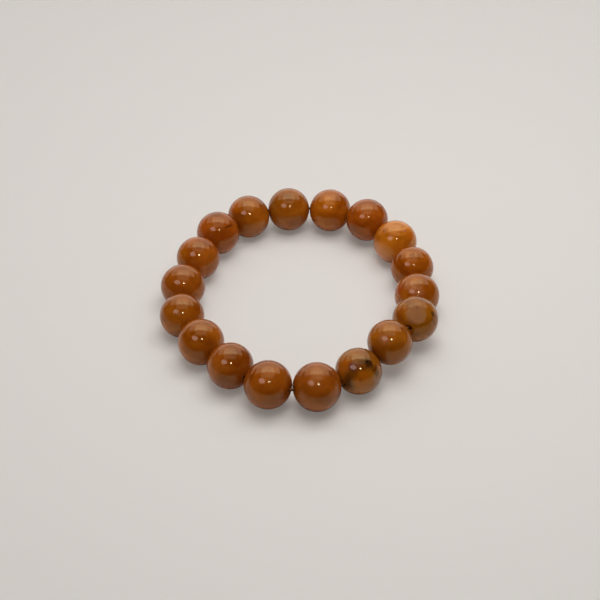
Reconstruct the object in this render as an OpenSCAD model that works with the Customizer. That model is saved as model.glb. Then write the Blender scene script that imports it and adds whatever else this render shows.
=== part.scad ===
// Gemstone bracelet: round beads of polished jasper, drilled through and
// strung on one closed loop of elastic cord, lying as it was put down.
// Millimetres, +Z up. The surface that it lies on is Z = 0, the wearer's side
// of the ring is the open middle, and the front of the ring is towards -Y.
// The origin is the middle of the base of the bracelet's box.

/* [Beads] */
// Nominal diameter of a bead
bead_d = 12; // [11.5:0.1:12.5]
// Length of a bead along its hole, as a share of its diameter
bead_length_share = 0.97; // [0.95:0.01:0.98]
// Diameter of the drilled hole
hole_d = 1.4; // [1.3:0.1:1.6]
// Width of the bevel round each mouth of the hole
hole_bevel = 0.2; // [0.1:0.05:0.3]
// Clear space between a bead and the next one
bead_gap = 0.16; // [0.14:0.02:0.3]
// Diameter of the flat that wear has left on one bead
worn_flat_d = 4.8; // [3:0.1:5.5]

/* [Ring] */
// Half the width of the oval that the bead centres lie along
oval_half_w = 31.5; // [30.5:0.5:32.5]
// Half the depth of that oval, front to back
oval_half_d = 36.5; // [35.5:0.5:37.5]
// Bearing of the first bead, anticlockwise from the right
first_bearing = 95; // [92:0.5:98]

/* [Elastic] */
// Diameter of the elastic cord
cord_d = 0.7; // [0.5:0.1:0.7]
// Diameter of the cord's knot
knot_d = 1.7; // [1.4:0.1:2]
// Length of the knot, drawn into the end of a bead's hole
knot_length = 2.4; // [1.6:0.1:3]
// How far the knot lies inside the mouth of the hole
knot_inset = 0.8; // [0.6:0.1:1.2]
// Clear space round the knot in its pocket
knot_room = 0.25; // [0.2:0.05:0.4]

/* [Hidden] */
// How each bead lies, clockwise from the back as seen from above: how far it
// stands out from the oval, how far it rides up off the surface on its
// neighbours, how much wider it is than the nominal bead, and its stone.
OUT = 0;
LIFT = 1;
WIDER = 2;
STONE = 3;
LAY = [
    [-0.8, 0.0, 0.1, "caramel"],
    [-0.2, 0.0, 0.0, "caramel"],
    [0.2, 0.8, -0.1, "caramel"],
    [0.2, 0.0, 0.1, "honey"],
    [0.0, 0.0, -0.3, "caramel"],
    [-0.4, 0.0, 0.0, "russet"],
    [0.6, 2.0, 0.0, "mottled"],
    [-1.4, 2.6, -0.3, "caramel"],
    [-1.2, 0.0, 0.0, "mottled"],
    [0.6, 0.0, 0.5, "caramel"],
    [0.6, 0.0, 0.4, "caramel"],
    [-1.0, 0.0, 0.0, "caramel"],
    [-0.6, 0.0, 0.1, "caramel"],
    [0.8, 0.0, -0.2, "caramel"],
    [0.2, 0.0, 0.0, "caramel"],
    [-1.2, 0.6, -0.1, "caramel"],
    [-0.6, 0.8, 0.0, "caramel"],
    [0.0, 0.0, 0.0, "caramel"],
];
beads = len(LAY);

// The bead that the knot is drawn into, at its end nearest the bead before
knot_bead = 3;
// The bead with the worn flat, and the way that the flat faces
worn_bead = 7;
worn_bearing = -86;
worn_rise = 52;

// The loop is closed by growing or shrinking the oval within this reach
closing_reach = 6;
// Halvings in each search, enough for a thousandth of a degree
halvings = 24;
// Rounds in which the tight cord turns the beads to line their holes up
settling_rounds = 10;
// The widest step from one bead to the next, in degrees
widest_step = 60;

curve_facets = 96;
cord_sides = 8;

function two_digits(i) = str(i < 10 ? "0" : "", i);
function bead_name(i) = str("bead_", two_digits(i));

// Rows of LAY by bead number, where the number may run on past the last bead
function row(i) = LAY[(i + beads - 1) % beads];
function bead_r(i) = (bead_d + row(i)[WIDER]) / 2;
function half_length(i) = bead_r(i) * bead_length_share;
function pitch(i) = half_length(i - 1) + half_length(i) + bead_gap;

// The oval, and a bead's centre at a bearing on it
function oval(bearing, grow) =
    let (w = oval_half_w + grow, d = oval_half_d + grow)
    w * d / norm([d * cos(bearing), w * sin(bearing)]);
function spot(i, bearing, grow) =
    let (r = oval(bearing, grow) + row(i)[OUT])
    [r * cos(bearing), r * sin(bearing), bead_r(i) + row(i)[LIFT]];

// The bearing at which bead i meets the bead before it, found by halving
function meet(i, before, far, near, grow, n) =
    let (middle = (far + near) / 2)
    n == 0 ? middle :
    norm(spot(i, middle, grow) - before) > pitch(i) ?
        meet(i, before, middle, near, grow, n - 1) :
        meet(i, before, far, middle, grow, n - 1);
function next_bearing(i, bearing, grow) =
    meet(i, spot(i - 1, bearing, grow), bearing - widest_step, bearing, grow, halvings);
function bearings(grow) = [
    for (i = 1, b = first_bearing; i <= beads + 1; b = next_bearing(i + 1, b, grow), i = i + 1) b
];

// How much the oval grows for the last bead to meet the first one
function closing(low, high, n) =
    let (middle = (low + high) / 2)
    n == 0 ? middle :
    bearings(middle)[beads] < first_bearing - 360 ?
        closing(middle, high, n - 1) :
        closing(low, middle, n - 1);
ring_grow = closing(-closing_reach, closing_reach, halvings);
ring_bearings = bearings(ring_grow);
ring = [for (i = [1:beads]) spot(i, ring_bearings[i - 1], ring_grow)];

function unit(v) = v / norm(v);
function of_bead(list, i) = list[(i + beads - 1) % beads];
function ring_spot(i) = of_bead(ring, i);

// Halfway from the mouth ahead of bead i to the mouth of the next bead
function halfway(ways, i) =
    (ring_spot(i) + of_bead(ways, i) * half_length(i)
     + ring_spot(i + 1) - of_bead(ways, i + 1) * half_length(i + 1)) / 2;

// The ways that the holes point: at first each along the line between the
// bead's two neighbours, and then turned by the tight cord, round by round
function settled(ways, n) =
    let (halfways = [for (i = [1:beads]) halfway(ways, i)])
    n == 0 ? ways :
    settled([for (i = [1:beads]) unit(of_bead(halfways, i) - of_bead(halfways, i - 1))], n - 1);
hole_ways = settled([for (i = [1:beads]) unit(ring_spot(i + 1) - ring_spot(i - 1))], settling_rounds);
function along(i) = of_bead(hole_ways, i);

// How far a bead reaches from its centre in a direction: its rounded side is
// an arc of radius half_length, turned about the hole at a small offset
function arc_offset(i) = bead_r(i) - half_length(i);
function reach(i, way) = half_length(i) + arc_offset(i) * sqrt(1 - pow(along(i) * way, 2));
function highest(way) = max([for (i = [1:beads]) ring_spot(i) * way + reach(i, way)]);
function middle_of(way) = (highest(way) - highest(-way)) / 2;
base = [middle_of([1, 0, 0]), middle_of([0, 1, 0]), -highest([0, 0, -1])];
function centre(i) = ring_spot(i) - base;

// Where the cord crosses from bead i to the next one
function crossing(i) = halfway(hole_ways, i) - base;

// Turns +Z onto a direction
module aim(way) {
    rotate([0, acos(way.z), atan2(way.y, way.x)]) children();
}

// One bead about its own hole, which runs along Z
module drilled_round(i) {
    r = bead_r(i);
    rotate_extrude($fn = curve_facets) intersection() {
        translate([arc_offset(i), 0]) circle(r = half_length(i), $fn = curve_facets);
        translate([hole_d / 2, -r]) square([r, 2 * r]);
    }
}

// The bevel that is ground round a mouth of the given diameter
module mouth_bevel(i, side, d) {
    run = 2 * hole_bevel;
    translate([0, 0, side * half_length(i)]) mirror([0, 0, side < 0 ? 1 : 0])
        translate([0, 0, -run])
        cylinder(r1 = d / 2 + hole_bevel - run, r2 = d / 2 + hole_bevel + run,
                 h = 2 * run, $fn = curve_facets);
}

// The wider end of one hole, which takes the knot
module knot_pocket(i) {
    depth = knot_inset + knot_length + knot_room;
    translate([0, 0, -half_length(i) - hole_bevel])
        cylinder(d = knot_d + 2 * knot_room, h = depth + hole_bevel, $fn = curve_facets);
}

// The flat that wear has left on one bead
module worn_flat(i) {
    r = bead_r(i);
    depth = r - sqrt(r * r - worn_flat_d * worn_flat_d / 4);
    way = [cos(worn_rise) * cos(worn_bearing), cos(worn_rise) * sin(worn_bearing), sin(worn_rise)];
    aim(way) translate([-r, -r, r - depth]) cube([2 * r, 2 * r, r]);
}

module bead(i) {
    translate(centre(i)) difference() {
        aim(along(i)) difference() {
            drilled_round(i);
            mouth_bevel(i, 1, hole_d);
            mouth_bevel(i, -1, i == knot_bead ? knot_d + 2 * knot_room : hole_d);
            if (i == knot_bead) knot_pocket(i);
        }
        if (i == worn_bead) worn_flat(i);
    }
}

module caramel_bead(i) { color("#A0591A") bead(i); }
module honey_bead(i) { color("#C07A2C") bead(i); }
module russet_bead(i) { color("#9A4E20") bead(i); }
module mottled_bead(i) { color("#8F5A28") bead(i); }

module strung_bead(i) {
    if (row(i)[STONE] == "caramel") caramel_bead(i);
    if (row(i)[STONE] == "honey") honey_bead(i);
    if (row(i)[STONE] == "russet") russet_bead(i);
    if (row(i)[STONE] == "mottled") mottled_bead(i);
}

// Stations along the cord, each a point and a radius: where it crosses to a
// bead, and the bead's centre. Between these two, the bead that takes the
// knot has the knot's two ends and its full width.
function in_hole(i, depth) = centre(i) - along(i) * (half_length(i) - depth);
function knot_station(share, r) = [in_hole(knot_bead, knot_inset + knot_length * share), r];
knot_stations = [
    knot_station(0, cord_d / 2),
    knot_station(0.25, knot_d / 2),
    knot_station(0.75, knot_d / 2),
    knot_station(1, cord_d / 2),
];
stations = [
    for (i = [1:beads])
        each concat(
            [[crossing(i - 1), cord_d / 2]],
            i == knot_bead ? knot_stations : [],
            [[centre(i), cord_d / 2]])
];

function station_way(k) =
    let (n = len(stations), last = stations[(k + n - 1) % n][0], next = stations[(k + 1) % n][0])
    unit(unit(next - stations[k][0]) + unit(stations[k][0] - last));

// The corners of the cord's section at a station, square to its path
function section(k) =
    let (way = station_way(k), side = unit(cross([0, 0, 1], way)), up = cross(way, side))
    [
        for (s = [0:cord_sides - 1])
            let (turn = 360 * s / cord_sides)
            stations[k][0] + stations[k][1] * (cos(turn) * side + sin(turn) * up)
    ];

module elastic_cord() {
    n = len(stations);
    color("#5C3A1E") polyhedron(
        points = [for (k = [0:n - 1]) each section(k)],
        faces = [
            for (k = [0:n - 1], s = [0:cord_sides - 1])
                let (m = (k + 1) % n, t = (s + 1) % cord_sides)
                [k * cord_sides + s, m * cord_sides + s, m * cord_sides + t, k * cord_sides + t]
        ]);
}

for (i = [1:beads]) strung_bead(i);
elastic_cord();
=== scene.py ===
import math
from collections import namedtuple

import bpy
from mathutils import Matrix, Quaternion, Vector


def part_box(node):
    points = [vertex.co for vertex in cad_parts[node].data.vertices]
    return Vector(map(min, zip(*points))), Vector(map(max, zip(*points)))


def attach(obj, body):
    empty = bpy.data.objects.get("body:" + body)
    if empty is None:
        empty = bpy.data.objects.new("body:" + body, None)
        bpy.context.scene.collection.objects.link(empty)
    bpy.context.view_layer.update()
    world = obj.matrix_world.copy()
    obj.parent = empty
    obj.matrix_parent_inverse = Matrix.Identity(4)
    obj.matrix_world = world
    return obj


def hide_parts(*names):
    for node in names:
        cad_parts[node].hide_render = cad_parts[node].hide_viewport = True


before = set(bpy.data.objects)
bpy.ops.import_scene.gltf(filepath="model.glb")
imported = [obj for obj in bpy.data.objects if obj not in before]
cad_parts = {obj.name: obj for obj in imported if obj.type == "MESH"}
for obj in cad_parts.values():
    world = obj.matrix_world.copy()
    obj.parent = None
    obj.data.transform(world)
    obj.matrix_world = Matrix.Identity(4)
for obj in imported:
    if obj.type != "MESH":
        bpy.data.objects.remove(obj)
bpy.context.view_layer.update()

# The beads
# Each is a ball of opaque jasper, ground round between grooved wheels, drilled
# right through from both ends and tumbled until it shines. Grinding leaves it a
# few hundredths of a millimetre out of round, and eases the mouths of its hole.
MM = 0.001
BEADS = 18
# A bead's length along its hole, as a share of its width
BEAD_LENGTH_SHARE = 0.97
HOLE_D = 1.4 * MM
# Rounds in which the tight cord turns the beads to line their holes up
SETTLING_ROUNDS = 10
OUT_OF_ROUND = 0.03 * MM
SWELLS_PER_MM = 0.12
# The distance between two seeds, at which two beads have nothing in common
SEED_STEP = 10.0
ARC_POINTS = 96
MESH_STEP = 0.25 * MM
MESH_TURN = 128


def bead_name(number):
    """The CAD node of a bead, where the number may run on round the string."""
    return f"bead_{(number - 1) % BEADS + 1:02d}"


BEAD_BOXES = {bead_name(n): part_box(bead_name(n)) for n in range(1, BEADS + 1)}


def bead_place(number):
    """Where a bead's middle is, and its radius, from the solid that it replaces."""
    low, high = BEAD_BOXES[bead_name(number)]
    return (low + high) / 2, (high.z - low.z) / 2


def mouth_between(ways, number):
    """Halfway from the mouth ahead of a bead to the mouth of the next bead."""
    (here, r), (there, next_r) = bead_place(number), bead_place(number + 1)
    ahead = here + ways[bead_name(number)] * r * BEAD_LENGTH_SHARE
    behind = there - ways[bead_name(number + 1)] * next_r * BEAD_LENGTH_SHARE
    return (ahead + behind) / 2


def hole_ways():
    """The way each hole points, as the tight cord has turned the beads."""
    numbers = range(1, BEADS + 1)
    ways = {bead_name(n): (bead_place(n + 1)[0] - bead_place(n - 1)[0]).normalized() for n in numbers}
    for _ in range(SETTLING_ROUNDS):
        mouths = {n: mouth_between(ways, n) for n in range(BEADS + 1)}
        ways = {bead_name(n): (mouths[n] - mouths[n - 1]).normalized() for n in numbers}
    return ways


def add(tree, kind, inputs=None, **settings):
    """Adds a node, makes its settings, and sets its inputs or links them to other nodes."""
    node = tree.nodes.new(kind)
    for name, value in settings.items():
        setattr(node, name, value)
    for socket, value in (inputs or {}).items():
        if isinstance(value, bpy.types.Node):
            value = next(output for output in value.outputs if output.enabled)
        if isinstance(value, bpy.types.NodeSocket):
            tree.links.new(value, node.inputs[socket])
        else:
            node.inputs[socket].default_value = value
    return node


def new_tree(name, given, made):
    """An empty tree of geometry nodes with named inputs, and the sockets that they come in by."""
    tree = bpy.data.node_groups.new(name, "GeometryNodeTree")
    for label, kind in given:
        tree.interface.new_socket(label, in_out="INPUT", socket_type=f"NodeSocket{kind}")
    tree.interface.new_socket(made, in_out="OUTPUT", socket_type="NodeSocketGeometry")
    return tree, add(tree, "NodeGroupInput").outputs


PIT_CELL = 0.6 * MM
# How far a pit's rim and floor reach from its middle, in cells
PIT_RIM = 0.42
PIT_FLOOR = 0.15
# How far from its wall the skin of the hole still counts as drilled
DRILLED_SKIN = 0.04 * MM


def plucked(tree, where, middle, across):
    """1 in the small pits of a cluster that wide, and 0 elsewhere."""
    away = add(tree, "ShaderNodeVectorMath", {0: where, 1: middle}, operation="DISTANCE")
    edge = add(tree, "ShaderNodeMath", {0: across, 1: 0.5}, operation="MULTIPLY")
    within = add(tree, "ShaderNodeMath", {0: away.outputs["Value"], 1: edge}, operation="LESS_THAN")
    cells = add(tree, "ShaderNodeTexVoronoi", {"Vector": where, "Scale": 1 / PIT_CELL, "Randomness": 0.9})
    holes = add(tree, "ShaderNodeMapRange", {
        "Value": cells, "From Min": PIT_RIM, "From Max": PIT_FLOOR}, interpolation_type="SMOOTHSTEP")
    return add(tree, "ShaderNodeMath", {0: holes, 1: within}, operation="MULTIPLY")


def ground_bead_tree():
    """Half a bead's section, an arc closed by the wall of the hole, is swept round the hole."""
    tree, given = new_tree("ground_bead", (
        ("Width", "Float"), ("Length", "Float"), ("Hole", "Float"),
        ("Pocket", "Float"), ("Pocket Floor", "Float"), ("Out of Round", "Float"),
        ("Mesh Step", "Float"), ("Mesh Turn", "Int"), ("Seed", "Float"),
        ("Hole Way", "Vector"), ("Centre", "Vector"),
        ("Flat Way", "Vector"), ("Flat Depth", "Float"), ("Flat Edge", "Float"),
        ("Pits", "Vector"), ("Pits Across", "Float"), ("Pit Depth", "Float"),
        ("Stone", "Material"),
    ), "Bead")

    # The section: an arc round a point a little off the hole's middle line
    arc_r = add(tree, "ShaderNodeMath", {0: given["Length"], 1: 0.5}, operation="MULTIPLY")
    bead_r = add(tree, "ShaderNodeMath", {0: given["Width"], 1: 0.5}, operation="MULTIPLY")
    hole_r = add(tree, "ShaderNodeMath", {0: given["Hole"], 1: 0.5}, operation="MULTIPLY")
    off = add(tree, "ShaderNodeMath", {0: bead_r, 1: arc_r}, operation="SUBTRACT")
    reach = add(tree, "ShaderNodeMath", {0: hole_r, 1: off}, operation="SUBTRACT")
    share = add(tree, "ShaderNodeMath", {0: reach, 1: arc_r}, operation="DIVIDE")
    half_turn = add(tree, "ShaderNodeMath", {0: share}, operation="ARCCOSINE")
    start = add(tree, "ShaderNodeMath", {0: half_turn, 1: -1.0}, operation="MULTIPLY")
    sweep = add(tree, "ShaderNodeMath", {0: half_turn, 1: 2.0}, operation="MULTIPLY")
    arc = add(tree, "GeometryNodeCurveArc", {
        "Resolution": ARC_POINTS, "Radius": arc_r, "Start Angle": start, "Sweep Angle": sweep},
        mode="RADIUS")
    shift = add(tree, "ShaderNodeMath", {0: off, 1: hole_r}, operation="SUBTRACT")
    shift_way = add(tree, "ShaderNodeCombineXYZ", {"X": shift})
    section = add(tree, "GeometryNodeTransform", {
        "Geometry": arc.outputs["Curve"], "Translation": shift_way})
    section = add(tree, "GeometryNodeSetSplineCyclic", {"Geometry": section, "Cyclic": True})
    section = add(tree, "GeometryNodeResampleCurve", {
        "Curve": section, "Length": given["Mesh Step"]}, mode="LENGTH")

    # Tumbling eases the sharp mouths of the hole
    place = add(tree, "GeometryNodeInputPosition")
    eased = add(tree, "GeometryNodeBlurAttribute", {
        "Value": place, "Iterations": 1}, data_type="FLOAT_VECTOR")
    section = add(tree, "GeometryNodeSetPosition", {"Geometry": section, "Position": eased})
    ring = add(tree, "GeometryNodeCurvePrimitiveCircle", {
        "Resolution": given["Mesh Turn"], "Radius": hole_r}, mode="RADIUS")
    ring = add(tree, "GeometryNodeSetCurveNormal", {"Curve": ring.outputs["Curve"]}, mode="Z_UP")
    ball = add(tree, "GeometryNodeCurveToMesh", {"Curve": ring, "Profile Curve": section})

    # A wider drill makes the pocket that takes the knot, from the end that the hole's way leaves
    spread = add(tree, "ShaderNodeSeparateXYZ", {0: place})
    flat_place = add(tree, "ShaderNodeCombineXYZ", {"X": spread.outputs["X"], "Y": spread.outputs["Y"]})
    from_axis = add(tree, "ShaderNodeVectorMath", {0: flat_place}, operation="LENGTH")
    pocket_r = add(tree, "ShaderNodeMath", {0: given["Pocket"], 1: 0.5}, operation="MULTIPLY")
    cut_r = add(tree, "ShaderNodeMath", {0: from_axis.outputs["Value"], 1: pocket_r}, operation="MAXIMUM")
    widen = add(tree, "ShaderNodeMath", {0: cut_r, 1: from_axis.outputs["Value"]}, operation="DIVIDE")
    widened = add(tree, "ShaderNodeVectorMath", {0: flat_place, "Scale": widen}, operation="SCALE")
    height = add(tree, "ShaderNodeCombineXYZ", {"Z": spread.outputs["Z"]})
    widened = add(tree, "ShaderNodeVectorMath", {0: widened, 1: height}, operation="ADD")
    in_pocket = add(tree, "ShaderNodeMath", {
        0: spread.outputs["Z"], 1: given["Pocket Floor"]}, operation="LESS_THAN")
    ball = add(tree, "GeometryNodeSetPosition", {
        "Geometry": ball, "Selection": in_pocket, "Position": widened})

    # The wall of the hole is marked, because no polish reaches it
    wall_r = add(tree, "ShaderNodeMath", {0: hole_r, 1: DRILLED_SKIN}, operation="ADD")
    drilled = add(tree, "ShaderNodeMath", {0: from_axis.outputs["Value"], 1: wall_r}, operation="LESS_THAN")
    ball = add(tree, "GeometryNodeStoreNamedAttribute", {
        "Geometry": ball, "Name": "drilled", "Value": drilled}, data_type="FLOAT", domain="POINT")

    # The hole is turned to its way, and grinding leaves the ball a little out of round
    turn = add(tree, "FunctionNodeAlignRotationToVector", {"Vector": given["Hole Way"]}, axis="Z")
    ball = add(tree, "GeometryNodeTransform", {"Geometry": ball, "Rotation": turn})
    swell = add(tree, "ShaderNodeTexNoise", {
        "Vector": place, "W": given["Seed"], "Scale": SWELLS_PER_MM / MM, "Detail": 1.0},
        noise_dimensions="4D")
    swell = add(tree, "ShaderNodeMath", {0: swell, 1: 0.5}, operation="SUBTRACT")
    swell = add(tree, "ShaderNodeMath", {0: swell, 1: given["Out of Round"]}, operation="MULTIPLY")
    outwards = add(tree, "GeometryNodeInputNormal")
    swell = add(tree, "ShaderNodeVectorMath", {0: outwards, "Scale": swell}, operation="SCALE")
    ball = add(tree, "GeometryNodeSetPosition", {"Geometry": ball, "Offset": swell})

    # Wear presses what stands past the flat back to it, with a soft edge
    height = add(tree, "ShaderNodeVectorMath", {0: place, 1: given["Flat Way"]}, operation="DOT_PRODUCT")
    level = add(tree, "ShaderNodeMath", {0: bead_r, 1: given["Flat Depth"]}, operation="SUBTRACT")
    proud = add(tree, "ShaderNodeMath", {0: height.outputs["Value"], 1: level}, operation="SUBTRACT")
    worn = add(tree, "ShaderNodeMath", {0: proud, 1: 0.0, 2: given["Flat Edge"]}, operation="SMOOTH_MAX")
    worn = add(tree, "ShaderNodeMath", {0: worn, 1: -1.0}, operation="MULTIPLY")
    worn = add(tree, "ShaderNodeVectorMath", {0: given["Flat Way"], "Scale": worn}, operation="SCALE")
    ball = add(tree, "GeometryNodeSetPosition", {"Geometry": ball, "Offset": worn})
    ball = add(tree, "GeometryNodeTransform", {"Geometry": ball, "Translation": given["Centre"]})

    # Grinding plucks softer grains out of the skin and leaves small pits
    pits = plucked(tree, place, given["Pits"], given["Pits Across"])
    sunk = add(tree, "ShaderNodeMath", {0: pits, 1: given["Pit Depth"]}, operation="MULTIPLY")
    sunk = add(tree, "ShaderNodeMath", {0: sunk, 1: -1.0}, operation="MULTIPLY")
    sunk = add(tree, "ShaderNodeVectorMath", {0: outwards, "Scale": sunk}, operation="SCALE")
    ball = add(tree, "GeometryNodeSetPosition", {"Geometry": ball, "Offset": sunk})

    ball = add(tree, "GeometryNodeSetShadeSmooth", {"Geometry": ball})
    ball = add(tree, "GeometryNodeRealizeInstances", {"Geometry": ball})
    ball = add(tree, "GeometryNodeSetMaterial", {"Geometry": ball, "Material": given["Stone"]})
    add(tree, "NodeGroupOutput", {"Bead": ball})
    return tree


def grow(name, tree, values, seed_mesh=None):
    """A plain mesh from a tree of geometry nodes and the values of its named inputs."""
    seed = bpy.data.objects.new(name + "_seed", seed_mesh or bpy.data.meshes.new(name + "_seed"))
    bpy.context.scene.collection.objects.link(seed)
    modifier = seed.modifiers.new("shape", "NODES")
    modifier.node_group = tree
    for item in tree.interface.items_tree:
        if item.in_out == "INPUT" and item.name in values:
            modifier[item.identifier] = values[item.name]
    evaluated = seed.evaluated_get(bpy.context.evaluated_depsgraph_get())
    mesh = bpy.data.meshes.new_from_object(evaluated)
    mesh.name = name
    bpy.data.objects.remove(seed)
    piece = bpy.data.objects.new(name, mesh)
    bpy.context.scene.collection.objects.link(piece)
    return piece


def way_to(bearing, rise):
    """The way to a compass bearing, anticlockwise from the right, and a rise, in degrees."""
    b, r = math.radians(bearing), math.radians(rise)
    return Vector((math.cos(r) * math.cos(b), math.cos(r) * math.sin(b), math.sin(r)))


# Where a cluster of pits is on a bead, in degrees, and how wide it is in mm
Pits = namedtuple("Pits", "bearing rise across")
PIT_DEPTH = 0.12 * MM
# A pitted bead has a finer mesh
PITTED_MESH_STEP = 0.16 * MM
PITTED_MESH_TURN = 224
# The worn flat and the pocket for the knot are as large as in the solids
WORN_BEAD = 7
WORN_WAY = way_to(-86, 52)
WORN_FLAT_D = 4.8 * MM
WORN_EDGE = 0.15 * MM
KNOT_BEAD = 3
KNOT_INSET = 0.8 * MM
KNOT_LENGTH = 2.4 * MM
KNOT_D = 1.7 * MM
KNOT_ROOM = 0.25 * MM
ground_bead = ground_bead_tree()
WAYS = hole_ways()


def on_skin(number, bearing, rise):
    """The point of a bead's skin at a bearing and a rise from its middle."""
    centre, radius = bead_place(number)
    return centre + way_to(bearing, rise) * radius


def string_bead(number, stone, slot, pits=None):
    """Grinds one bead from its stone and puts it in its place on the string."""
    name = bead_name(number)
    centre, radius = bead_place(number)
    half_length = radius * BEAD_LENGTH_SHARE
    # The flat lies clear of a bead that has none, and so does its soft edge
    flat_depth = -2 * WORN_EDGE
    if number == WORN_BEAD:
        flat_depth = radius - math.sqrt(radius ** 2 - WORN_FLAT_D ** 2 / 4)
    piece = grow(f"{name}_{slot}", ground_bead, {
        "Width": 2 * radius,
        "Length": 2 * half_length,
        "Hole": HOLE_D,
        "Pocket": KNOT_D + 2 * KNOT_ROOM if number == KNOT_BEAD else 0.0,
        "Pocket Floor": KNOT_INSET + KNOT_LENGTH + KNOT_ROOM - half_length,
        "Out of Round": OUT_OF_ROUND,
        "Mesh Step": PITTED_MESH_STEP if pits else MESH_STEP,
        "Mesh Turn": PITTED_MESH_TURN if pits else MESH_TURN,
        "Seed": SEED_STEP * number,
        "Hole Way": WAYS[name],
        "Centre": centre,
        "Flat Way": WORN_WAY,
        "Flat Depth": flat_depth,
        "Flat Edge": WORN_EDGE,
        "Pits": on_skin(number, pits.bearing, pits.rise) if pits else centre,
        "Pits Across": pits.across * MM if pits else 0.0,
        "Pit Depth": PIT_DEPTH,
        "Stone": stone,
    })
    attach(piece, "root")
    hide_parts(name)


# The caramel beads
# Most of the beads are plain caramel jasper: quartz so full of iron that it is
# opaque, tumbled to a wet shine. Each is cut from another part of the rock, so
# each has a brown of its own, cloudy up close, with a few dark specks and veins.
JASPER_IOR = 1.54
POLISH = 0.09
# A mark's place and tilt on a bead in degrees, its size in mm, its colour, how strong
# that is, how soft the mark's edge is, and how much duller the polish is in it
Mark = namedtuple("Mark", "bearing rise long wide tilt colour strength soft dull")
# The photo is a little strong in colour, so the shine is warm where a stone's own is white
SHINE = "#FFEEBC"
# The stone's own colour times these, from its darkest clouds to its palest
SHADES = ((0.74, 0.66, 0.5), (0.93, 0.91, 0.9), (1.06, 1.08, 1.2), (1.22, 1.34, 2.2))
DARKEST_CLOUD = 0.34
PALEST_CLOUD = 0.66
# How far a swirl carries a cloud, in the cloud's own size
SWIRL = 0.5
# The bedding draws the clouds out, and is turned another way in each bead
BEDDING = 1.8
BED_LEAN = 0.7
BED_TURN = 1.3
# Each bead is cut so many mm further on in the rock
NEXT_CUT = 31
# How far a speck reaches in mm, the share of the rock without specks, and their strength
SPECK_EDGE = 0.14
SPECK_CORE = 0.06
SPECKLESS = 0.85
SPECK_STRENGTH = 0.4
# How far a mark's edge wanders, in half its size
WANDER = 0.9
# How much dust the pits hold, and how much duller the drill leaves its wall
DUST = 0.75
DRILL_DULLNESS = 0.4


def linear(hex_colour):
    """The linear colour of an sRGB hex value."""
    parts = [int(hex_colour[i:i + 2], 16) / 255 for i in (1, 3, 5)]
    return [p / 12.92 if p <= 0.04045 else ((p + 0.055) / 1.055) ** 2.4 for p in parts] + [1.0]


def near(tree, number, mark):
    """1 inside an oval mark on a bead's skin, fading to 0 past its uneven edge."""
    turn = way_to(mark.bearing, mark.rise).to_track_quat("Z", "Y")
    turn = turn @ Quaternion((0, 0, 1), math.radians(mark.tilt))
    halves = [MM * across / 2 for across in (mark.long, mark.wide, max(mark.long, mark.wide))]
    where = add(tree, "ShaderNodeTexCoord").outputs["Object"]
    where = add(tree, "ShaderNodeMapping", {
        "Vector": where, "Location": on_skin(number, mark.bearing, mark.rise),
        "Rotation": turn.to_euler(), "Scale": halves}, vector_type="TEXTURE")
    ragged = add(tree, "ShaderNodeTexNoise", {
        "Vector": where, "Scale": 1.3, "Detail": 4.0, "Roughness": 0.65})
    ragged = add(tree, "ShaderNodeVectorMath", {
        0: ragged.outputs["Color"], 1: (0.5, 0.5, 0.5)}, operation="SUBTRACT")
    ragged = add(tree, "ShaderNodeVectorMath", {0: ragged, "Scale": WANDER}, operation="SCALE")
    ragged = add(tree, "ShaderNodeVectorMath", {0: where, 1: ragged}, operation="ADD")
    away = add(tree, "ShaderNodeVectorMath", {0: ragged}, operation="LENGTH")
    return add(tree, "ShaderNodeMapRange", {
        "Value": away.outputs["Value"], "From Min": 1 + mark.soft, "From Max": 1 - mark.soft},
        interpolation_type="SMOOTHSTEP")


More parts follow.
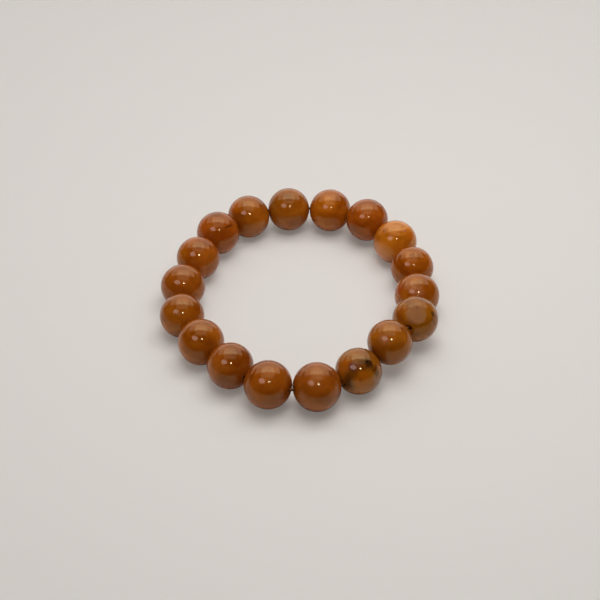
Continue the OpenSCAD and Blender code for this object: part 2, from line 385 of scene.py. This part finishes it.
def polished_jasper(name, number, tone, cloud=6.0, marks=(), pits=None, polish=POLISH):
    """Jasper of one tone in soft clouds of some size in mm, with marks and pits of its own."""
    material = bpy.data.materials.new(name)
    material.use_nodes = True
    tree = material.node_tree
    tree.nodes.clear()
    where = add(tree, "ShaderNodeTexCoord").outputs["Object"]
    mm = add(tree, "ShaderNodeMapping", {
        "Vector": where, "Scale": (1 / MM, 1 / MM, 1 / MM), "Location": (0, 0, NEXT_CUT * number)})

    # Clouds, drawn out one way by the bedding of the stone
    swirl = add(tree, "ShaderNodeTexNoise", {"Vector": mm, "Scale": 0.9 / cloud, "Detail": 1.0})
    swirl = add(tree, "ShaderNodeVectorMath", {
        0: swirl.outputs["Color"], "Scale": SWIRL * cloud}, operation="SCALE")
    bed = add(tree, "ShaderNodeVectorMath", {0: mm, 1: swirl}, operation="ADD")
    bed = add(tree, "ShaderNodeMapping", {
        "Vector": bed, "Rotation": (BED_LEAN * number, BED_TURN * number, 0), "Scale": (1.0, 1.0, BEDDING)})
    clouds = add(tree, "ShaderNodeTexNoise", {
        "Vector": bed, "Scale": 1.0 / cloud, "Detail": 3.0, "Roughness": 0.45})
    ramp = add(tree, "ShaderNodeValToRGB", {"Fac": clouds})
    stops = ramp.color_ramp.elements
    ramp.color_ramp.interpolation = "EASE"
    for i, shade in enumerate(SHADES):
        position = DARKEST_CLOUD + (PALEST_CLOUD - DARKEST_CLOUD) * i / (len(SHADES) - 1)
        stop = stops[i] if i < 2 else stops.new(position)
        stop.position = position
        stop.color = [part * share for part, share in zip(linear(tone), shade)] + [1.0]
    colour = ramp.outputs["Color"]

    # Fine mottling, a fifth of a millimetre to one across
    grain = add(tree, "ShaderNodeTexNoise", {"Vector": mm, "Scale": 1.1, "Detail": 4.0, "Roughness": 0.6})
    grain = add(tree, "ShaderNodeMapRange", {
        "Value": grain, "From Min": 0.3, "From Max": 0.7, "To Min": 0.92, "To Max": 1.08})
    colour = add(tree, "ShaderNodeVectorMath", {0: colour, "Scale": grain}, operation="SCALE")

    # Specks of iron ore
    cells = add(tree, "ShaderNodeTexVoronoi", {"Vector": mm, "Scale": 1.0, "Randomness": 1.0})
    speck = add(tree, "ShaderNodeMapRange", {
        "Value": cells, "From Min": SPECK_EDGE, "From Max": SPECK_CORE}, interpolation_type="SMOOTHSTEP")
    rare = add(tree, "ShaderNodeSeparateColor", {"Color": cells.outputs["Color"]})
    rare = add(tree, "ShaderNodeMath", {0: rare.outputs["Red"], 1: SPECKLESS}, operation="GREATER_THAN")
    speck = add(tree, "ShaderNodeMath", {0: speck, 1: rare}, operation="MULTIPLY")
    speck = add(tree, "ShaderNodeMath", {0: speck, 1: SPECK_STRENGTH}, operation="MULTIPLY")
    colour = add(tree, "ShaderNodeMix", {0: speck, 6: colour, 7: linear(ORE)}, data_type="RGBA")

    # The polish is a little duller in the pale clouds
    dullness = add(tree, "ShaderNodeMapRange", {
        "Value": clouds, "From Min": 0.3, "From Max": 0.7, "To Min": polish - 0.02, "To Max": polish + 0.03})

    # A mark is stronger in some grains than in others. Most marks are stains; a few are painted light and
    # painted shade on the sides of beads.
    uneven = add(tree, "ShaderNodeTexNoise", {"Vector": mm, "Scale": 1.6, "Detail": 3.0, "Roughness": 0.6})
    uneven = add(tree, "ShaderNodeMapRange", {
        "Value": uneven, "From Min": 0.35, "From Max": 0.6, "To Min": 0.6})
    for mark in marks:
        inside = near(tree, number, mark)
        stains_and_painted_light = add(tree, "ShaderNodeMath", {0: inside, 1: mark.strength}, operation="MULTIPLY")
        stains_and_painted_light = add(tree, "ShaderNodeMath", {0: stains_and_painted_light, 1: uneven}, operation="MULTIPLY")
        colour = add(tree, "ShaderNodeMix", {
            0: stains_and_painted_light, 6: colour, 7: linear(mark.colour)}, data_type="RGBA")
        dulled = add(tree, "ShaderNodeMath", {0: inside, 1: mark.dull}, operation="MULTIPLY")
        dullness = add(tree, "ShaderNodeMath", {0: dullness, 1: dulled}, operation="ADD")

    # Polishing dust darkens and dulls the pits
    if pits:
        dusty = plucked(tree, where, on_skin(number, pits.bearing, pits.rise), pits.across * MM)
        dusty = add(tree, "ShaderNodeMath", {0: dusty, 1: DUST}, operation="MULTIPLY")
        colour = add(tree, "ShaderNodeMix", {0: dusty, 6: colour, 7: linear(ORE)}, data_type="RGBA")
        dullness = add(tree, "ShaderNodeMath", {0: dullness, 1: dusty}, operation="ADD")

    # The drill leaves the wall of the hole matt and paler
    drilled = add(tree, "ShaderNodeAttribute", attribute_name="drilled").outputs["Fac"]
    colour = add(tree, "ShaderNodeMix", {0: drilled, 6: colour, 7: linear(DRILLED)}, data_type="RGBA")
    matt = add(tree, "ShaderNodeMath", {0: drilled, 1: DRILL_DULLNESS}, operation="MULTIPLY")
    dullness = add(tree, "ShaderNodeMath", {0: dullness, 1: matt}, operation="ADD")
    surface = add(tree, "ShaderNodeBsdfPrincipled", {
        "Base Color": colour, "Roughness": dullness, "IOR": JASPER_IOR, "Specular Tint": linear(SHINE)})
    add(tree, "ShaderNodeOutputMaterial", {"Surface": surface})
    return material


ORE = "#4A1E06"
DRILLED = "#B8743C"
# A paler tone, painted on a bead's left side as light
PAINTED_LIGHT_OCHRE = "#A8640A"
RED_EARTH = "#97420C"
PINK_QUARTZ = "#B87850"
# The brown of each bead, dark veins and stains on some, a paler left side painted as light and a darker
# right side painted as shade on some, and where some are pitted
CARAMEL = {
    1: "#964F0A", 2: "#A8580A", 3: "#99490A", 5: "#9C4F0A", 8: "#95500A", 10: "#934A0A", 11: "#934A0A",
    12: "#90480A", 13: "#99500A", 14: "#974F0A", 15: "#92490A", 16: "#994C0A", 17: "#94470A", 18: "#984F0A",
}
CARAMEL_MARKS = {
    1: [Mark(-150, 35, 4.5, 5.0, 0, "#8A520A", 0.5, 0.5, 0)],
    2: [Mark(-95, -12, 6.0, 0.35, -4, PINK_QUARTZ, 0.35, 0.4, 0),
        Mark(-70, 5, 4.0, 3.0, 10, RED_EARTH, 0.5, 0.5, 0)],
    # Bead 8's paler mark on the left side is painted light, and its darker mark on the right side painted
    # shade
    8: [Mark(-161, 30, 3.0, 4.0, 0, PAINTED_LIGHT_OCHRE, 0.5, 0.5, 0),
        Mark(-119, 47, 3.4, 2.2, -20, PINK_QUARTZ, 0.3, 0.5, 0.05),
        Mark(-58, 28, 2.5, 4.0, 10, "#80420A", 0.5, 0.5, 0)],
    14: [Mark(-78, 80, 0.35, 0.35, 0, ORE, 0.8, 0.3, 0.2),
         Mark(-60, 76, 0.3, 0.3, 0, ORE, 0.7, 0.3, 0.2)],
    16: [Mark(-62, 4, 0.9, 0.7, 0, ORE, 0.5, 0.4, 0),
         # The paler mark on this bead's left side is painted light, and the darker mark on its right side
         # painted shade
         Mark(-150, 30, 4.0, 4.0, 0, "#B86A0C", 0.5, 0.5, 0),
         Mark(-40, 20, 3.5, 5.0, 0, "#86480A", 0.45, 0.5, 0)],
    17: [Mark(-38, 47, 3.4, 0.45, -13, ORE, 0.85, 0.4, 0.1),
         # The paler mark on this bead's left side is painted light, and the darker mark on its right side
         # painted shade
         Mark(-152, 37, 4.0, 4.5, 0, "#B0500C", 0.5, 0.5, 0),
         Mark(-60, 22, 5.0, 4.0, 20, "#8A3C0A", 0.55, 0.5, 0)],
    # The paler mark on this bead's left side is painted light
    18: [Mark(-160, 45, 4.0, 4.0, 0, "#B0560C", 0.5, 0.5, 0)],
}
PITS = {
    5: Pits(-108, 74, 1.7),
    11: Pits(-47, 83, 0.8),
    13: Pits(4, 58, 0.8),
    14: Pits(-106, 46, 1.7),
}
# A bead whose tumbling left it duller
DULLER = {10: 0.16}
for number, tone in CARAMEL.items():
    stone = polished_jasper(
        f"tumbled_caramel_jasper_{number:02d}", number, tone, marks=CARAMEL_MARKS.get(number, ()),
        pits=PITS.get(number), polish=DULLER.get(number, POLISH))
    string_bead(number, stone, "caramel_jasper", PITS.get(number))

# The honey bead
# One bead is cut from a paler, yellower part of the stone, with short red-brown
# streaks across its top. A pale spot on its top is a painted reflection, and a pale
# pinkish patch low on its left is painted light.
HONEY_MARKS = (
    Mark(-100, 25, 9.0, 4.5, 0, "#BE6A0A", 0.6, 0.5, 0),
    # A pale spot on the top, a painted reflection
    Mark(-125, 84, 4.0, 2.0, 30, "#C8824A", 0.5, 0.6, 0),
    Mark(-160, 56, 1.2, 1.0, 0, RED_EARTH, 0.7, 0.6, 0),
    Mark(-54, 64, 3.4, 0.8, -22, "#A4500C", 0.8, 0.6, 0),
    Mark(-30, 60, 1.4, 0.6, -22, RED_EARTH, 0.9, 0.5, 0),
    Mark(-28, 41, 2.4, 2.6, 0, "#B85A0C", 0.8, 0.6, 0),
    # The pale pinkish patch low on the left is painted light
    Mark(-133, -1, 5.6, 5.0, 0, "#D08C5C", 0.7, 0.6, 0),
    Mark(-140, -24, 3.4, 3.0, 0, "#D08C70", 0.8, 0.6, 0),
)
honey = polished_jasper("tumbled_honey_jasper", 4, "#C06F19", marks=HONEY_MARKS, polish=0.06)
string_bead(4, honey, "honey_jasper")

# The russet bead
# One bead is redder than the rest, with smaller clouds and pinkish quartz in
# it. It is ground, drilled and tumbled as the others are.
RUSSET_MARKS = (
    Mark(-140, 60, 3.5, 2.6, 20, PINK_QUARTZ, 0.45, 0.5, 0),
    Mark(-95, 50, 3.6, 2.2, -10, "#AC6644", 0.65, 0.5, 0.05),
    Mark(-39, 39, 3.0, 4.5, 0, "#94480A", 0.6, 0.5, 0),
    Mark(-165, 30, 2.6, 3.6, 0, "#A03C10", 0.7, 0.5, 0),
)
russet = polished_jasper("tumbled_russet_jasper", 6, "#9A500A", cloud=3.5, marks=RUSSET_MARKS)
string_bead(6, russet, "russet_jasper")

# The mottled beads
# Two beads have dark ore and greyish quartz in them. One of the two has worn
# flat and matt where it rubbed, and the other has a dark patch at its top.
MOTTLED = {7: "#92520A", 9: "#8E510A"}
MOTTLED_MARKS = {
    7: [Mark(-91, 54, 5.3, 5.0, 0, "#8C5634", 0.7, 0.15, 0.5),
        Mark(-49, 40, 2.6, 4.6, 0, "#96580A", 0.6, 0.5, 0),
        Mark(-78, 20, 4.2, 2.6, -15, "#905606", 0.65, 0.5, 0),
        Mark(-158, 41, 2.6, 3.6, 0, "#8E420C", 0.6, 0.5, 0),
        Mark(-25, 36, 1.3, 1.9, 8, "#1E1408", 0.9, 0.4, 0.1),
        Mark(-27, 35, 0.4, 0.6, 8, "#80501A", 0.8, 0.4, 0),
        Mark(-37, 24, 0.9, 1.3, 20, ORE, 0.6, 0.5, 0),
        Mark(-37, 14, 0.5, 0.8, 0, ORE, 0.6, 0.5, 0),
        Mark(-89, 73, 0.5, 0.4, 0, ORE, 0.8, 0.3, 0.1)],
    # The paler mark on this bead's left side is painted light
    9: [Mark(-150, 40, 3.4, 4.4, 0, "#B45C0C", 0.6, 0.5, 0),
        Mark(-84, 24, 4.6, 4.0, 0, "#B4600A", 0.75, 0.5, 0),
        Mark(-80, -12, 6.0, 3.5, 0, "#A8642C", 0.6, 0.6, 0),
        Mark(-87, 22, 0.9, 1.6, 0, "#8A3A04", 0.6, 0.5, 0),
        Mark(17, 58, 2.4, 2.4, 0, "#7A4C10", 0.5, 0.6, 0),
        Mark(-41, 8, 2.2, 3.2, 0, "#8E6E5C", 0.65, 0.6, 0.05),
        Mark(-114, 54, 2.8, 2.4, 0, "#5E3038", 0.7, 0.5, 0),
        Mark(-107, 38, 2.2, 2.6, 10, "#5A2A08", 0.7, 0.6, 0),
        Mark(-118, 13, 2.4, 4.8, 12, "#3A1808", 0.85, 0.6, 0),
        Mark(-36, 29, 1.8, 3.4, 8, "#4A1E06", 0.85, 0.6, 0),
        Mark(-50, 58, 4.0, 3.2, -20, "#5A2E12", 0.75, 0.6, 0),
        Mark(-64, 66, 1.9, 1.3, 0, "#3E2410", 0.6, 0.6, 0),
        Mark(-45, 56, 1.9, 2.1, -20, "#180C06", 0.97, 0.4, 0.05)],
}
for number, tone in MOTTLED.items():
    stone = polished_jasper(
        f"tumbled_mottled_jasper_{number:02d}", number, tone, cloud=4.5, marks=MOTTLED_MARKS[number])
    string_bead(number, stone, "mottled_jasper")

# The elastic
# One length of round brown elastic, spun from fine rubber threads, goes through
# all the beads. It is pulled tight and knotted, and the knot is drawn into the
# wider end of one bead's hole.
ELASTIC_D = 0.7 * MM
ELASTIC_SIDES = 16
ELASTIC_STEP = 0.25 * MM
THREADS_PER_MM = 8
THREAD_RISE = 0.03 * MM


def elastic_stations():
    """Points along the elastic with its radius there: mouths, middles, and the knot's swelling."""
    stations = []
    for number in range(1, BEADS + 1):
        centre, radius = bead_place(number)
        way = WAYS[bead_name(number)]
        stations.append((mouth_between(WAYS, number - 1), ELASTIC_D / 2))
        if number == KNOT_BEAD:
            mouth = centre - way * radius * BEAD_LENGTH_SHARE
            for share, d in ((0, ELASTIC_D), (0.25, KNOT_D), (0.75, KNOT_D), (1, ELASTIC_D)):
                stations.append((mouth + way * (KNOT_INSET + KNOT_LENGTH * share), d / 2))
        stations.append((centre, ELASTIC_D / 2))
    return stations


def pulled_elastic_tree():
    """A round section swept along a closed path, as thick at each point as the path says."""
    tree, given = new_tree("pulled_elastic", (
        ("Path", "Geometry"), ("Step", "Float"), ("Sides", "Int"), ("Elastic", "Material")), "Cord")
    path = add(tree, "GeometryNodeMeshToCurve", {"Mesh": given["Path"]})
    path = add(tree, "GeometryNodeResampleCurve", {"Curve": path, "Length": given["Step"]}, mode="LENGTH")
    thick = add(tree, "GeometryNodeInputNamedAttribute", {"Name": "thickness"}, data_type="FLOAT")
    section = add(tree, "GeometryNodeCurvePrimitiveCircle", {
        "Resolution": given["Sides"], "Radius": 1.0}, mode="RADIUS")
    path = add(tree, "GeometryNodeSetCurveNormal", {"Curve": path}, mode="Z_UP")
    cord = add(tree, "GeometryNodeCurveToMesh", {
        "Curve": path, "Profile Curve": section.outputs["Curve"], "Scale": thick.outputs["Attribute"]})
    cord = add(tree, "GeometryNodeSetShadeSmooth", {"Geometry": cord})
    cord = add(tree, "GeometryNodeRealizeInstances", {"Geometry": cord})
    cord = add(tree, "GeometryNodeSetMaterial", {"Geometry": cord, "Material": given["Elastic"]})
    add(tree, "NodeGroupOutput", {"Cord": cord})
    return tree


def spun_elastic(name):
    """Rubber threads spun together: nearly matt, with the threads as a fine unevenness."""
    material = bpy.data.materials.new(name)
    material.use_nodes = True
    tree = material.node_tree
    tree.nodes.clear()
    where = add(tree, "ShaderNodeTexCoord").outputs["Object"]
    threads = add(tree, "ShaderNodeTexNoise", {"Vector": where, "Scale": THREADS_PER_MM / MM, "Detail": 2.0})
    colour = add(tree, "ShaderNodeMix", {
        0: threads, 6: linear("#5E3412"), 7: linear("#805022")}, data_type="RGBA")
    raised = add(tree, "ShaderNodeBump", {"Strength": 0.6, "Distance": THREAD_RISE, "Height": threads})
    surface = add(tree, "ShaderNodeBsdfPrincipled", {
        "Base Color": colour, "Roughness": 0.8, "IOR": 1.3, "Normal": raised})
    add(tree, "ShaderNodeOutputMaterial", {"Surface": surface})
    return material


stations = elastic_stations()
path_mesh = bpy.data.meshes.new("elastic_path")
path_mesh.from_pydata(
    [point for point, _ in stations], [(i, (i + 1) % len(stations)) for i in range(len(stations))], [])
thickness = path_mesh.attributes.new("thickness", "FLOAT", "POINT")
thickness.data.foreach_set("value", [r for _, r in stations])
elastic = grow("elastic_loop", pulled_elastic_tree(), {
    "Step": ELASTIC_STEP, "Sides": ELASTIC_SIDES, "Elastic": spun_elastic("spun_brown_elastic")}, path_mesh)
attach(elastic, "root")
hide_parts("elastic_cord")

# The sheet
# The bracelet lies on a matt white sheet. It ends in front of the beads, which
# mirror the dark past its edge. The camera sees the same white go on from there.
sheet = bpy.data.materials.new("matt_white_sheet")
sheet.use_nodes = True
sheet_surface = sheet.node_tree.nodes["Principled BSDF"]
sheet_surface.inputs["Base Color"].default_value = linear("#E7E7E7")
sheet_surface.inputs["Roughness"].default_value = 0.7


def flat_panel(name, corners, material):
    """A flat panel of the surroundings between corners in mm."""
    mesh = bpy.data.meshes.new(name)
    mesh.from_pydata([Vector(c) * MM for c in corners], [], [range(len(corners))])
    mesh.materials.append(material)
    panel = bpy.data.objects.new(name, mesh)
    bpy.context.scene.collection.objects.link(panel)
    return panel


SHEET_FRONT = -125
SHEET_REACH = 2000
flat_panel("tabletop", [
    (-SHEET_REACH, SHEET_FRONT, 0), (SHEET_REACH, SHEET_FRONT, 0),
    (SHEET_REACH, SHEET_REACH, 0), (-SHEET_REACH, SHEET_REACH, 0)], sheet)

FAR = 4000
BEYOND_Z = -0.01
far_table = flat_panel("tabletop_beyond", [
    (-FAR, -FAR, BEYOND_Z), (FAR, -FAR, BEYOND_Z), (FAR, FAR, BEYOND_Z), (-FAR, FAR, BEYOND_Z)], sheet)
far_table.visible_glossy = False
far_table.visible_diffuse = False

# The light tent
# White cloth, lit from outside, hangs over the sheet and behind it, for the polish
# to mirror. The front edge of its roof bulges forward and is the brightest of it,
# and a dimmer flap hangs out over the bracelet.
ROOF_Z = 434
TENT_BACK = 900
WARM_WHITE = "#FFFAF5"
ROOF_EDGE_STEPS = 8
ROOF_EDGE_Y = 78
ROOF_EDGE_BEND = 0.00048
FLAP_Z = ROOF_Z + 1


def glowing(name, colour, radiance):
    """Glowing white, as bright as that radiance: cloth lit from behind in the tent, and the pale table and
    walls that the camera alone sees.
    """
    material = bpy.data.materials.new(name)
    material.use_nodes = True
    surface = material.node_tree.nodes["Principled BSDF"]
    surface.inputs["Base Color"].default_value = linear("#000000")
    surface.inputs["Specular IOR Level"].default_value = 0
    surface.inputs["Emission Color"].default_value = linear(colour)
    surface.inputs["Emission Strength"].default_value = radiance
    return material


def roof_edge(x):
    """How far back the lit roof starts, that far to the right."""
    return ROOF_EDGE_Y + ROOF_EDGE_BEND * x ** 2


def glowing_cloth(name, corners, radiance, lights):
    """A panel of lit cloth that the polish mirrors, and that lights the sheet or doesn't."""
    cloth = flat_panel(name, corners, glowing(name + "_cloth", WARM_WHITE, radiance))
    cloth.visible_camera = False
    cloth.visible_diffuse = lights


for name, x0, x1, y0, y1, radiance, lights in (
    ("tent_roof_front", -220, 220, None, 230, 3.0, True),
    ("tent_roof_left", -600, -220, None, 450, 1.0, True),
    ("tent_roof_right", 220, 600, None, 450, 1.4, True),
    ("tent_roof_middle", -220, 220, 230, 450, 2.2, False),
    ("tent_roof_rear", -600, 600, 450, TENT_BACK, 1.2, False),
):
    xs = [x0 + (x1 - x0) * i / ROOF_EDGE_STEPS for i in range(ROOF_EDGE_STEPS + 1)]
    edge = [(x, roof_edge(x) if y0 is None else y0, ROOF_Z) for x in xs]
    glowing_cloth(name, edge + [(x1, y1, ROOF_Z), (x0, y1, ROOF_Z)], radiance, lights)
glowing_cloth("tent_roof_flap", [
    (-220, -130, FLAP_Z), (220, -130, FLAP_Z), (220, 230, FLAP_Z), (-220, 230, FLAP_Z)], 0.7, False)
for name, x0, x1, z0, z1, radiance in (
    ("tent_back_high", -700, 700, 150, ROOF_Z, 1.0),
    ("tent_back_low", -700, 700, 0, 150, 1.5),
    ("tent_back_left", -1400, -700, 0, ROOF_Z, 0.7),
    ("tent_back_right", 700, 1400, 0, ROOF_Z, 0.2),
):
    glowing_cloth(name, [
        (x0, TENT_BACK, z0), (x1, TENT_BACK, z0), (x1, TENT_BACK, z1), (x0, TENT_BACK, z1)], radiance, False)

# The lamps
# Soft lamps over the sheet and on its left light it, and the polish doesn't mirror
# them. It does mirror a small lamp and a pale lilac patch of wall, as bright spots.
LAMP_Z = ROOF_Z - 4


def lamp(name, place, target, size, colour, radiance, tilt=0, mirrored=True, lights=True):
    """A soft lamp of that size in mm, as bright as that radiance, facing a target."""
    light = bpy.data.lights.new(name, "AREA")
    light.shape = "ELLIPSE"
    light.size, light.size_y = size[0] * MM, size[1] * MM
    light.color = linear(colour)[:3]
    area = math.pi / 4 * light.size * light.size_y
    light.energy = radiance * math.pi * area
    fixture = bpy.data.objects.new(name, light)
    fixture.location = Vector(place) * MM
    facing = (Vector(target) - Vector(place)).to_track_quat("-Z", "Y")
    fixture.rotation_mode = "QUATERNION"
    fixture.rotation_quaternion = facing @ Quaternion((0, 0, 1), math.radians(tilt))
    fixture.visible_camera = False
    fixture.visible_glossy = mirrored
    fixture.visible_diffuse = lights
    bpy.context.scene.collection.objects.link(fixture)


lamp("overhead_front", (0, -95, LAMP_Z), (0, -95, 0), (226, 226), WARM_WHITE, 3.1, mirrored=False)
lamp("overhead_right", (240, 60, LAMP_Z), (240, 60, 0), (226, 226), WARM_WHITE, 1.8, mirrored=False)
lamp("overhead_middle", (25, 0, 170), (25, 0, 0), (120, 120), WARM_WHITE, 1.4, mirrored=False)
lamp("fill_left", (-480, 20, 80), (0, 0, 0), (400, 160), WARM_WHITE, 2.0, mirrored=False)
lamp("ceiling_lamp", way_to(-78, 55) * 1000, (0, 0, 0), (90, 90), "#FFFFFF", 62, lights=False)
lamp("lit_wall_patch", way_to(-137, 52) * 800, (0, 0, 0), (300, 430), "#E4D8FF", 3.8, tilt=-75, lights=False)

# The room
# A dim room gives a little light from all round. Away from the tent its table and
# walls are evenly pale to the camera, and the beads don't see that.
world = bpy.data.worlds.new("dim_room")
world.use_nodes = True
world.node_tree.nodes["Background"].inputs["Color"].default_value = linear("#FFF4E8")
world.node_tree.nodes["Background"].inputs["Strength"].default_value = 0.19
world.cycles_visibility.glossy = False
bpy.context.scene.world = world

# Where the pale table fades in, and how far in mm from the middle it is all pale. Nearer
# than that a thin glow of it stays over the sheet as painted light, so that shadows are as pale as in the
# photo.
FADE_FROM = 150
FADE_TO = 330
PAINTED_SHADOW_FILL = 0.22
PALE_Z = 0.02
WALL_FOOT = -1
PALE = "#E6E1DB"
PALE_RADIANCE = 0.8
pale_room = glowing("pale_room", PALE, PALE_RADIANCE)
pale_table_and_shadow_fill = glowing("pale_table_and_shadow_fill", PALE, PALE_RADIANCE)
pale_tree = pale_table_and_shadow_fill.node_tree
# Near the bracelet the glow is painted light over the sheet that lightens the shadows
middle_away = add(pale_tree, "ShaderNodeTexCoord").outputs["Object"]
middle_away = add(pale_tree, "ShaderNodeVectorMath", {0: middle_away}, operation="LENGTH")
pale = add(pale_tree, "ShaderNodeMapRange", {
    "Value": middle_away.outputs["Value"], "From Min": FADE_FROM * MM, "From Max": FADE_TO * MM,
    "To Min": PAINTED_SHADOW_FILL}, interpolation_type="SMOOTHSTEP")
pale_tree.links.new(pale.outputs["Result"], pale_tree.nodes["Principled BSDF"].inputs["Alpha"])


def seen_only(name, corners, material):
    """A panel that the camera sees, and that does nothing to the bracelet."""
    panel = flat_panel(name, corners, material)
    panel.visible_glossy = False
    panel.visible_diffuse = False
    panel.visible_shadow = False
    material.cycles.emission_sampling = "NONE"


seen_only("pale_table_and_shadow_fill", [
    (-FAR, -FAR, PALE_Z), (FAR, -FAR, PALE_Z), (FAR, FAR, PALE_Z), (-FAR, FAR, PALE_Z)], pale_table_and_shadow_fill)
for name, (x0, y0), (x1, y1) in (
    ("wall_back", (-FAR, FAR), (FAR, FAR)),
    ("wall_right", (FAR, FAR), (FAR, -FAR)),
    ("wall_front", (FAR, -FAR), (-FAR, -FAR)),
    ("wall_left", (-FAR, -FAR), (-FAR, FAR)),
):
    seen_only(name, [(x0, y0, WALL_FOOT), (x1, y1, WALL_FOOT), (x1, y1, FAR), (x0, y0, FAR)], pale_room)

# The camera
# It stands in front of the ring and looks down on it, a little askew, through
# a lens long enough that the near beads look only a little larger than the far.
LOOK_AT = Vector((0.12, 3.8, 0)) * MM
CAMERA_RISE = 41.44
CAMERA_DISTANCE = 400 * MM
CAMERA_ROLL = -0.65
CAMERA_SENSOR = 36
CAMERA_LENS = 88.1
camera_data = bpy.data.cameras.new("camera")
camera_data.sensor_width = CAMERA_SENSOR
camera_data.lens = CAMERA_LENS
camera = bpy.data.objects.new("camera", camera_data)
camera.location = LOOK_AT + way_to(-90, CAMERA_RISE) * CAMERA_DISTANCE
camera.rotation_mode = "QUATERNION"
facing = (LOOK_AT - camera.location).to_track_quat("-Z", "Y")
camera.rotation_quaternion = facing @ Quaternion((0, 0, 1), math.radians(CAMERA_ROLL))
bpy.context.scene.collection.objects.link(camera)
bpy.context.scene.camera = camera
bpy.context.scene.view_settings.view_transform = "Standard"
